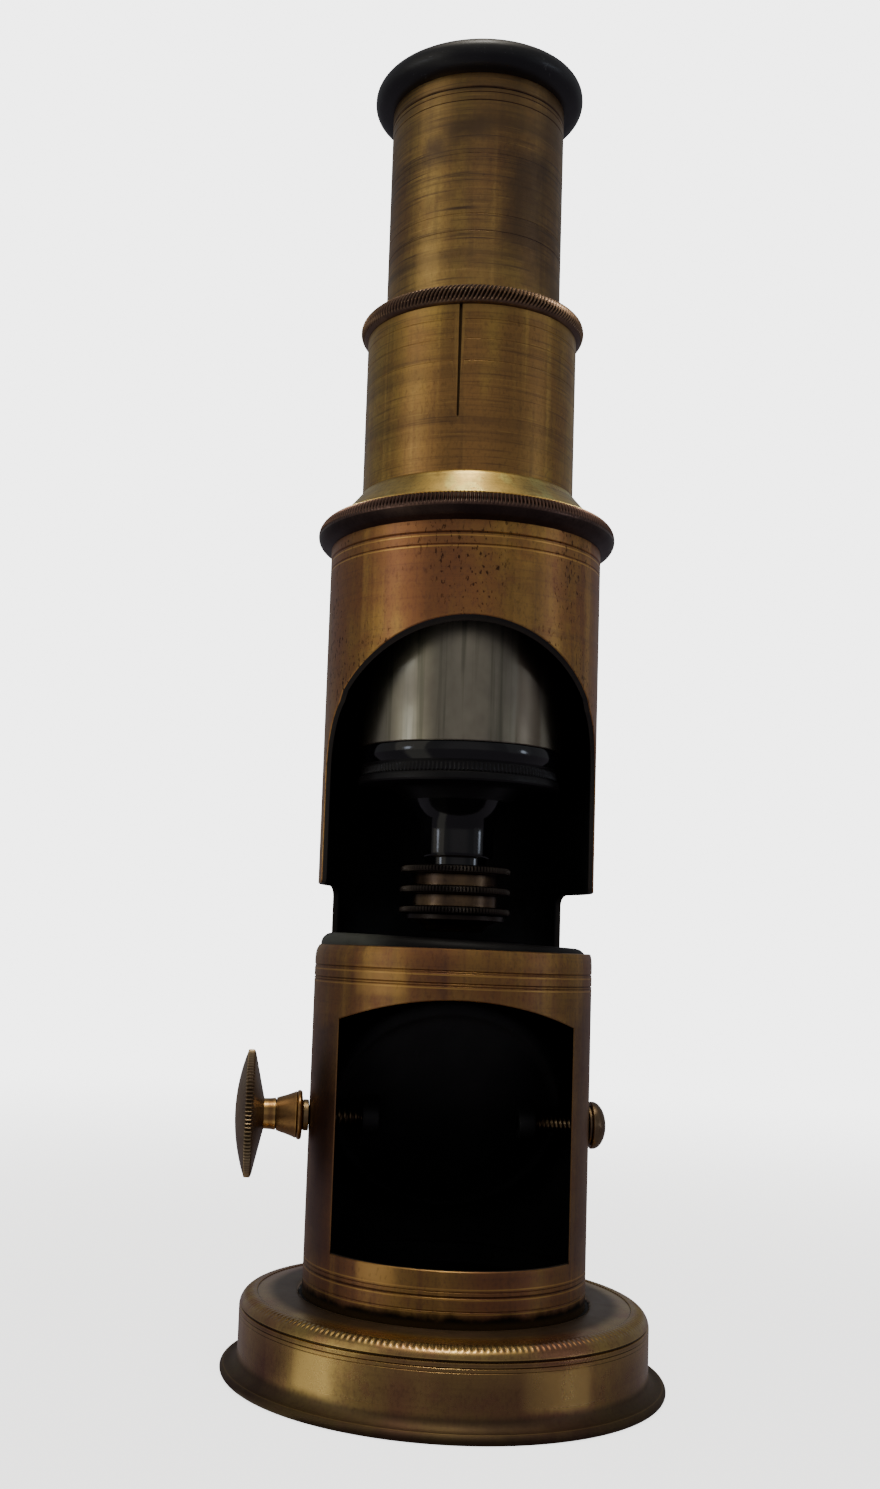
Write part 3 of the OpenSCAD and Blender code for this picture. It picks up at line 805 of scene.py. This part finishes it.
def round_hole(turn, height, hole_r):
    """Outline function of a drilled hole."""
    def outline(r):
        wide = hole_r / radians(r)
        return [(turn + wide * cos(t), height + hole_r * sin(t))
                for t in (2 * pi * i / 24 for i in range(24))]
    return outline


def bent_rim(turn, z):
    """How far the edge under the slot is rounded in: clearly on the knob side, slightly on the other."""
    reach, last_turn = 2.2, 114
    up = (z - CUT_EDGE + reach) / reach
    if not 0 < up < 1.01 or abs(turn) > last_turn:
        return 0
    most = 0.3 + 0.5 * min(1, max(0, (-turn - 30) / 30))
    return most * min(1, (last_turn - abs(turn)) / 6) * (1 - sqrt(max(0, 1 - up * up)))


def make_drum():
    grooves = [(13.3, 0.2, 0.07), (15.1, 0.36, 0.16), (15.75, 0.16, 0.07), (CUT_EDGE - 4.95, 0.16, 0.07),
               (CUT_EDGE - 4.6, 0.22, 0.1), (CUT_EDGE - 3.25, 0.16, 0.06), (CUT_EDGE - 2.95, 0.24, 0.1),
               (DRUM_TOP - 1.7, 0.34, 0.15), (DRUM_TOP - 3.4, 0.2, 0.08)]
    openings = [mirror_window, side_opening, round_hole(90, PIVOT, 1.3), round_hole(-90, PIVOT, 1.6)]
    cut_tube("drum_tube", DRUM_R, DRUM_IN, DRUM_LOW, DRUM_TOP, openings, grooves,
             [drum_brass, black_paint, edge_black], lean=bent_rim,
             extra_rows=[CUT_EDGE - gap for gap in (2.2, 1.8, 1.4, 1, 0.7, 0.45, 0.25)])


def make_stage():
    hole, low_z, rim_r = 5.5, STAGE - 2.4, 1.65
    rows = [(hole + 0.8, low_z), (DRUM_IN, low_z)] + arc((DRUM_IN - rim_r, STAGE - rim_r), rim_r, 0, 90, 12)
    rows += [(DRUM_IN - 3.4, STAGE - 0.04)]
    rows += near(hole, STAGE, (0.5, -0.04), (0.1, -0.25), (0, -0.6), (0, -1.6))
    sag = Matrix.Translation((0, 0, STAGE * MM)) @ Matrix.Rotation(radians(1.6), 4, "Y")
    turned("stage_plate", rows, [stage_black], place=sag @ Matrix.Translation((0, 0, -STAGE * MM)))


def make_collar():
    z = DRUM_TOP
    rows = [(SLEEVE_R, z - 5.5), (17.5, z - 5.5), (17.5, z)]
    rows += near(DRUM_R, z, (-0.1, 0), (0.1, 0.05), (0.3, 0.18))
    for i, (r, h) in enumerate(arc((DRUM_R + 0.1, z + 2.05), 1.9, -62, 86, 22)):
        rows.append((r, h, min(1, max(0, (i - 8) / 3)) * min(1, (22 - i) / 2 + 0.3)))
    rows += near(DRUM_R, z, (-0.1, 3.9), (-0.25, 3.82), (-0.45, 3.95), (-0.8, 4.35), (-1.7, 5.35), (-2.7, 6.5),
                 (-3.5, 7.45), (-3.9, 7.95))
    rows += near(SLEEVE_R, z, (0.2, 8.22), (0, 8.3))
    # Copies of one brass by height: painted shade below, dimmer on the milling, painted lit on top and the
    # cone.
    finishes = [lit_collar_brass, knurl_brass, shaded_collar_rim_brass]
    collar = turned("collar", rows, finishes, steps=5, teeth=240, depth=0.4)
    for face in collar.data.polygons:
        height = face.center.z / MM - z
        face.material_index = 2 if height < 1.6 else 1 if height < 3.6 else 0


def slit(r):
    """Outline on a wall of radius r of the saw cut in the sleeve's top edge, from its left to its right."""
    turn, low_z = -12.5, SLEEVE_TOP - 16.35
    half = 0.2 / radians(r)
    return [(turn - half * 1.15, SLEEVE_TOP), (turn - half * 0.8, low_z), (turn, low_z - 0.2),
            (turn + half * 0.8, low_z), (turn + half * 1.15, SLEEVE_TOP)]


def make_sleeve():
    grooves = [(SLEEVE_TOP - 2.2, 0.14, 0.035), (SLEEVE_TOP - 5.1, 0.12, 0.03), (SLEEVE_TOP - 8.3, 0.12, 0.03)]
    cut_tube("guide_sleeve", SLEEVE_R, SLEEVE_R - 0.75, DRUM_TOP - 5.5, SLEEVE_TOP, [], grooves,
             [sleeve_brass, dull_brass, dull_brass], notch=slit)


# ------------ mirror

def make_lug(side, x, back, place):
    """A rounded plate on the mirror's back, which holds the axle."""
    r, half = 2.4, 1.25
    outline = [(-r, back + 0.2)] + arc((0, 0), r, 180, 360, 16) + [(r, back + 0.2)]
    bm = bmesh.new()
    ends = [[bm.verts.new((x + shift, y, z)) for y, z in outline] for shift in (-half, half)]
    bm.faces.new(ends[0])
    bm.faces.new(list(reversed(ends[1])))
    for i in range(len(outline)):
        j = (i + 1) % len(outline)
        bm.faces.new((ends[0][i], ends[0][j], ends[1][j], ends[1][i]))
    bmesh.ops.recalc_face_normals(bm, faces=bm.faces)
    rim_edges = [e for e in bm.edges if abs(e.verts[0].co.x - e.verts[1].co.x) < half]
    bmesh.ops.bevel(bm, geom=rim_edges, offset=0.25, segments=3, profile=0.5, affect="EDGES")
    finish_piece(bm, "mirror_cell", [mirror_black], place=place, beside="mirror_lug_" + side)


def make_mirror():
    pivot = Vector((0, 0, PIVOT * MM))
    centre = sum(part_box("mirror_glass"), Vector()) / 2 - pivot
    lean = atan2(centre.z, centre.y) - radians(90)
    place = Matrix.Translation(pivot) @ Matrix.Rotation(lean, 4, "X")
    lowest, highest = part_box("mirror_cell")
    r = (highest.x - lowest.x) / 2 / MM
    back, rim = 2, r - 0.9
    cell = [(0, back)] + near(r, back, (-3.4, 0), (-3.2, 0.12), (-2, 0.12), (-1.7, 0), (-1.2, 0.1),
                              (-0.5, 0.5), (-0.1, 0.8), (0, 1), (0, 2.45), (-0.15, 2.6))
    cell += near(rim, back, (0.1, 2.6), (0, 2.5), (0, 1)) + [(0, back + 1)]
    glass = [(0, back + 1)] + near(rim, back, (0, 1), (0, 2.1), (-0.1, 2.2)) + [(0, back + 2.2)]
    ring = near(rim, back, (-0.8, 2.2), (0, 2.2), (0, 2.55), (-0.15, 2.6), (-0.7, 2.5))
    turned("mirror_cell", cell, [mirror_black], place=place)
    turned("mirror_glass", glass, [mirror_silver], place=place)
    turned("mirror_ring", ring, [dull_brass], place=place)
    make_lug("left", -11.25, back, place)
    make_lug("right", 11.25, back, place)


def along_x(side):
    """Lays a shape turned about Z along the pivot axis, out to one side."""
    return Matrix.Translation((0, 0, PIVOT * MM)) @ Matrix.Rotation(side * radians(90), 4, "Y")


def threaded(r, start, end, pitch):
    """Rows of a screw thread: one tooth whose phase winds along the shank."""
    count = round((end - start) / pitch * 6)
    rows = []
    for i in range(count + 1):
        x = start + (end - start) * i / count
        rows.append((r, x, min(1, i / 4, (count - i) / 4), -2 * pi * (x - start) / pitch))
    return rows


def make_knob():
    left = along_x(-1)
    lowest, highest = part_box("knob_stem")
    stem_x, knob_x = -highest.x / MM, -lowest.x / MM
    shank = [(0, 10), (1.2, 10)] + threaded(1.5, 10.3, DRUM_R + 1, 0.8)
    shank += [(1.5, DRUM_R + 1.4), (1.5, DRUM_R + 8), (0, DRUM_R + 8)]
    turned("mirror_axle", shank, [dull_brass], steps=48, teeth=1, depth=0.3, place=left)
    washer = near(0, DRUM_R, (1.5, 0.05), (2.05, 0.05), (2.2, 0.15))
    washer += near(0, stem_x, (2.2, -0.12), (2.08, 0), (1.5, 0))
    turned("axle_washer", washer, [dull_brass], steps=64, place=left)
    stem = near(0, stem_x, (1.5, 0), (2.3, 0.02), (2.9, 0.1)) + arc((3.1, stem_x + 0.5), 0.4, -90, 75, 8)
    stem += near(0, stem_x, (3.22, 0.9), (3.3, 0.98), (3.2, 1.2), (2.78, 2.3))
    stem += near(0, knob_x, (2.5, -2.3), (2.36, -1.9), (2.32, -1.8), (2.1, -1.77), (2.1, -1.68), (2.28, -1.62),
                 (2.2, -1), (2.16, 0), (1.5, 0))
    turned("knob_stem", stem, [stem_brass], steps=96, place=left)
    lowest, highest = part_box("mirror_knob")
    knob_r, apex = (highest.z - lowest.z) / 2 / MM, -lowest.x / MM
    rim = knob_x + 1.5
    rows = near(0, knob_x, (0, 0), (2.15, 0), (2.4, 0.06), (2.8, 0.15))
    rows += near(knob_r, rim, (-0.6, -0.08), (-0.38, 0, 0.3))
    edge = arc((knob_r - 0.3, rim + 0.35), 0.3, -60, 0, 4) + arc((knob_r - 0.3, rim + 0.85), 0.3, 0, 50, 4)
    rows += [(r, x, 1) for r, x in edge] + [(knob_r - 0.36, rim + 1.14, 0.4)]
    dome = apex - rim - 1.18
    for i in range(1, 13):
        share = 1 - i / 12
        rows.append(((knob_r - 0.42) * share, rim + 1.18 + dome * (1 - share ** 2)))
    turned("mirror_knob", rows, [knob_brass], steps=5, teeth=100, depth=0.3, place=left)


def make_pivot_screw():
    right = along_x(1)
    base, head_r = DRUM_R + 0.5, 3.35
    rows = [(0, 10), (0.9, 10)] + threaded(1.2, 10.2, DRUM_R - 0.4, 0.62)
    rows += [(1.2, DRUM_R - 0.2), (1.2, base), (3.2, base), (head_r, base + 0.12), (head_r, base + 0.35)]
    for i in range(1, 10):
        a = radians(90 * i / 10)
        rows.append((head_r * cos(a), base + 0.35 + 1.9 * sin(a)))
    rows.append((0, base + 2.25))
    turned("pivot_screw", rows, [screw_brass], steps=72, teeth=1, depth=0.24, place=right)
    washer = near(0, DRUM_R, (1.2, 0.05), (2.7, 0.05), (2.8, 0.15), (2.8, 0.4), (2.7, 0.5), (1.2, 0.5))
    turned("pivot_washer", washer, [dull_brass], steps=64, place=right)


# ------------ body tube and objectives

def make_body():
    inner = BODY_R - WALL
    tube_top = top("body_tube")
    rows = [(inner, BODY_LOW), (BODY_R - 0.12, BODY_LOW), (BODY_R, BODY_LOW + 0.12), (BODY_R, tube_top),
            (inner, tube_top)]
    turned("body_tube", rows, [silvered_tube])
    lip, h = DRAW_R + 0.1, HEAD_TOP - SLEEVE_TOP
    rows = [(BODY_R, SLEEVE_TOP), (HEAD_R - 1.5, SLEEVE_TOP)]
    for i, (r, z) in enumerate(arc((HEAD_R - h / 2, SLEEVE_TOP + h / 2), h / 2, -88, 88, 28)):
        rows.append((r, z, min(1, max(0, (i - 5) / 6), max(0, (28 - i) / 4)), -0.75 * i))
    rows += [(HEAD_R - 1.7, HEAD_TOP), (lip + 0.3, HEAD_TOP), (lip, HEAD_TOP - 0.3), (lip, HEAD_TOP - 1.2),
             (BODY_R, HEAD_TOP - 1.2)]
    turned("body_head", rows, [head_brass], steps=5, teeth=170, depth=0.36)


def make_nosepiece():
    nose, b = radius("nosepiece"), BODY_LOW
    inner, flange = BODY_R - WALL, b - 5.45
    neck = top("upper_objective_cell") + 1.2
    rows = [(inner, b + 4.3), (inner, b)]
    rows += near(nose, b, (-0.25, 0), (-0.06, -0.15), (0, -0.4), (0, -1.3), (-0.1, -1.9), (-0.5, -2.5),
                 (-0.62, -2.75), (-0.5, -2.95), (-0.42, -3.1, 1), (-0.42, -4, 1), (-0.55, -4.12),
                 (-0.1, -4.3), (0, -4.5), (0, -5.2), (-0.2, -5.45))
    rows += near(0, flange, (9.9, 0), (9.5, -0.15), (8.9, -0.6), (7.75, -1.9), (6.9, -2.9), (6.3, -3.65),
                 (5.9, -4.3), (5.65, -4.8), (5.5, -5.3), (5.43, -5.7), (5.4, -6.1), (5.39, -6.5))
    rows += near(0, neck, (5.38, 0.7), (5.37, 0.45), (5.36, 0.35), (5.2, 0), (4.45, 0), (4.45, -2.4),
                 (3.6, -2.4))
    rows += [(3.6, flange - 3), (inner - 4.6, flange + 1.4), (inner - 1, b - 1), (inner - 1, b + 4.3)]
    nosepiece = turned("nosepiece", rows, [nose_black, flange_black], steps=4, teeth=150, depth=0.18)
    for face in nosepiece.data.polygons:
        face.material_index = int((flange - 1.9) * MM < face.center.z < (b - 2.5) * MM)


def make_buttons():
    f = BUTTON_R
    for level in ("upper", "middle", "lower"):
        name = level + "_objective_cell"
        t = top(name)
        rows = [(4.5, t)]
        rows += near(f, t, (-0.55, 0), (-0.12, -0.15, 0.7), (0, -0.3, 1), (0, -0.75, 1), (-0.12, -0.95, 0.7))
        if level == "lower":
            rows += near(f, t, (-0.75, -1.12), (-0.85, -1.2), (-0.9, -1.85))
            rows += near(0, t, (5.9, -2), (5.7, -2.1))
            rows += near(0, NOSE_LOW, (4.75, 0.9), (4.3, 0.2), (4, 0), (1.5, 0), (1.2, 0.3), (1.2, 0.5),
                         (2.2, 0.5))
            rows += near(0, t, (2.2, -1.3), (4.5, -1.3))
        else:
            rows += near(f, t, (-0.6, -1.1))
            rows += near(0, t, (6.3, -1.15), (6.15, -1.3), (6.1, -2.85), (6, -2.95), (4.5, -2.95),
                         (4.5, -4.25), (2.6, -4.25), (2.6, -2.65), (3.4, -2.65), (3.4, -1.3), (4.5, -1.3))
        button = turned(name, rows, [dull_brass, button_rim], steps=4, teeth=96, depth=0.22)
        for face in button.data.polygons:
            face.material_index = int(face.center.xy.length > (f - 1) * MM)


# ------------ draw tube and eyepiece

def make_draw_tube():
    inner = DRAW_R - WALL
    grooves = [(DRAW_TOP - 2.2, 0.4, 0.16), (DRAW_TOP - 2.95, 0.16, 0.07), (DRAW_TOP - 4.2, 0.18, 0.08),
               (DRAW_TOP - 24.2, 0.12, 0.03), (DRAW_TOP - 21.6, 0.1, 0.025), (DRAW_TOP - 12.4, 0.1, 0.02)]
    rows = [(inner, DRAW_LOW)] + grooved(DRAW_R, DRAW_LOW, DRAW_TOP, grooves) + [(inner, DRAW_TOP)]
    turned("draw_tube", rows, [draw_brass], sharp=15)


def make_cap():
    inner, seat = DRAW_R - WALL, CAP_TOP - 1.6
    dish_r, dish_from, dish_to = 70, CAP_R - 3.4, 4.2
    rows = near(0, DRAW_TOP, (11.2, -6.5), (inner, -6.5), (inner, 0), (CAP_R - 2.3, 0), (CAP_R - 1.9, 0.02))
    rows += arc((CAP_R - 2, DRAW_TOP + 2.1), 2, -70, 0, 8)
    rows += arc((CAP_R - 2.25, CAP_TOP - 2.25), 2.25, 10, 90, 10)
    rows += near(CAP_R, CAP_TOP, (-2.9, -0.05), (-3.3, -0.35))
    for i in range(1, 9):
        r = dish_from - (dish_from - dish_to) * i / 8
        rows.append((r, seat + r * r / (2 * dish_r)))
    rows += near(0, CAP_TOP, (3.7, -1.6), (3.3, -1.8), (3.2, -2.2))
    rows += near(0, DRAW_TOP, (3.2, 1.5), (4.4, -1), (11.2, -1))
    turned("eyepiece_cap", rows, [cap_black])


for make in (make_foot, make_drum, make_stage, make_collar, make_sleeve, make_mirror, make_knob,
             make_pivot_screw, make_body, make_nosepiece, make_buttons, make_draw_tube, make_cap):
    make()

# The CAD nodes that stay are inside the instrument or under it; each gets its real finish.
CAD_FINISH = (
    (lead, "foot_ballast"), (foot_brass, "foot_base_plate"),
    (black_paint, "foot_spigot body_diaphragm field_lens_cell field_stop"),
    (dull_brass, "drum_top_ring draw_bush eye_lens_cell eye_lens_ring"),
    (lens_glass, "upper_objective_lens middle_objective_lens lower_objective_lens field_lens eye_lens"),
)
for material, names in CAD_FINISH:
    for name in names.split():
        for slot in frame["nodes"][name].material_slots:
            slot.material = material


# ------------ studio

BACKDROP = (4.4, 4.4, 4.4)
FLOOR_IN_METAL = (0.165, 0.15, 0.175)
LIT_FLOOR_IN_METAL = (0.55, 0.53, 0.48)
LIT_FLOOR_TURN = -56
ROOM = (0.215, 0.217, 0.232)
# Soft windows as (turn from the front, height, outer reach, bright core, colour), angles in degrees.
WINDOWS = [
    (-67, 5, 42, 14, (0.075, 0.066, 0.045)),
    (2, 5, 36, 12, (0.12, 0.105, 0.10)),
    (-66, 5, 5, 2, (4.8, 5.3, 6.4)),
    (70, 5, 5, 2, (4.4, 5, 6)),
    (0, 84, 30, 3, (1.5, 1.32, 1)),
]
# Area lights as (name, place, width and height, power in watts, colour), all aimed at one point of the drum.
LAMPS = [
    ("left_window", (-0.60, -0.30, 0.35), (0.5, 0.6), 0.4, (1, 0.93, 0.76)),
    ("right_window", (0.62, -0.30, 0.30), (0.4, 0.6), 0.07, (0.97, 0.98, 1)),
    ("ceiling", (0, -0.15, 0.95), (0.2, 0.2), 1.8, (1, 0.96, 0.88)),
]
LAMP_AIM = Vector((0, 0, 0.1))
CAMERA_TURN = -6.5
CAMERA_PITCH, CAMERA_YAW, CAMERA_ROLL = -6.26, 4.74, 1.76
CAMERA_PLACE = (0.00003, -0.2252, 0.06007)
FOCAL_LENGTH, SENSOR_WIDTH = 37.03, 36
LENS_SHIFT = 0.0729, 0.0211


def make_floor():
    """A pale cove without a visible horizon, which the metal sees as darker than the camera does."""
    bm = bmesh.new()
    bmesh.ops.create_grid(bm, x_segments=2, y_segments=2, size=6)
    mesh = bpy.data.meshes.new("floor")
    bm.to_mesh(mesh)
    bm.free()
    n = Finish("floor")
    n.colour = n.mix(n.noise((40, 40, 40), 3, 0.5), (0.80, 0.80, 0.79), (0.83, 0.83, 0.82))
    n.roughness = 0.95
    n.set("Specular IOR Level", 0.1)
    mesh.materials.append(n.done())
    glow = n.out("Emission", {"Color": tuple(c * 0.5 for c in BACKDROP)})
    close = n.out("AddShader", {0: n.shader.outputs[0], 1: glow})
    far = n.out("Emission", {"Color": BACKDROP})
    seen = n.blend(n.span(n.distance(), 0.06, 0.5), close, far)
    turn, reach, core = (radians(a) for a in (LIT_FLOOR_TURN, 16, 9))
    towards = n.minus(n.times(n.x, sin(turn)), n.times(n.y, cos(turn)))
    lobe = n.span(n.math("DIVIDE", towards, n.distance()), cos(reach), cos(core))
    dim = n.out("Emission", {"Color": n.mix(lobe, FLOOR_IN_METAL, LIT_FLOOR_IN_METAL)})
    n.plug(n.tree.nodes["Material Output"].inputs["Surface"], n.two_faced(seen, dim))
    show("floor", mesh)


def make_world():
    """The camera sees a plain backdrop; the metal sees a dim room with soft windows at both sides and above."""
    world = bpy.data.worlds.new("studio")
    bpy.context.scene.world = world
    world.use_nodes = True
    world.node_tree.nodes.clear()
    n = Tree(world.node_tree)
    direction = n.add("TexCoord").outputs["Generated"]
    light = ROOM
    for *angles, colour in WINDOWS:
        turn, rise, reach, core = (radians(a) for a in angles)
        aim = (sin(turn) * cos(rise), -cos(turn) * cos(rise), sin(rise))
        dot = n.vector("DOT_PRODUCT", {0: direction, 1: aim}).outputs["Value"]
        lobe = n.span(dot, cos(reach), cos(core))
        tint = n.vector("SCALE", {0: colour, "Scale": lobe}).outputs[0]
        light = n.vector("ADD", {0: light, 1: tint}).outputs[0]
    lit = n.out("Background", {"Color": light})
    seen = n.out("Background", {"Color": BACKDROP})
    n.add("OutputWorld", {0: n.two_faced(seen, lit)})


def make_lamps():
    for name, place, (width, height), power, colour in LAMPS:
        data = bpy.data.lights.new(name, "AREA")
        data.shape = "RECTANGLE"
        data.size, data.size_y = width, height
        data.energy = power
        data.color = colour
        lamp = show(name, data)
        lamp.location = place
        lamp.rotation_mode = "QUATERNION"
        lamp.rotation_quaternion = (LAMP_AIM - Vector(place)).to_track_quat("-Z", "Y")


def make_camera():
    """Camera in front of the instrument and a little to its knob side, held slightly crooked."""
    pitch, yaw, roll = (radians(a) for a in (CAMERA_PITCH, CAMERA_YAW, CAMERA_ROLL))
    level = Matrix(((1, 0, 0), (0, 0, -1), (0, 1, 0)))
    aim = Matrix.Rotation(roll, 3, "Z") @ Matrix.Rotation(yaw, 3, "Y") @ Matrix.Rotation(pitch, 3, "X") @ level
    right, down, ahead = aim
    axes = Matrix((right, -down, -ahead)).transposed()
    data = bpy.data.cameras.new("camera")
    data.sensor_width = SENSOR_WIDTH
    data.lens = FOCAL_LENGTH
    data.shift_x, data.shift_y = LENS_SHIFT
    data.clip_start = 0.01
    camera = show("camera", data)
    spin = Matrix.Rotation(radians(CAMERA_TURN), 4, "Z")
    camera.matrix_world = spin @ Matrix.Translation(CAMERA_PLACE) @ axes.to_4x4()
    bpy.context.scene.camera = camera


make_floor()
make_world()
make_lamps()
make_camera()
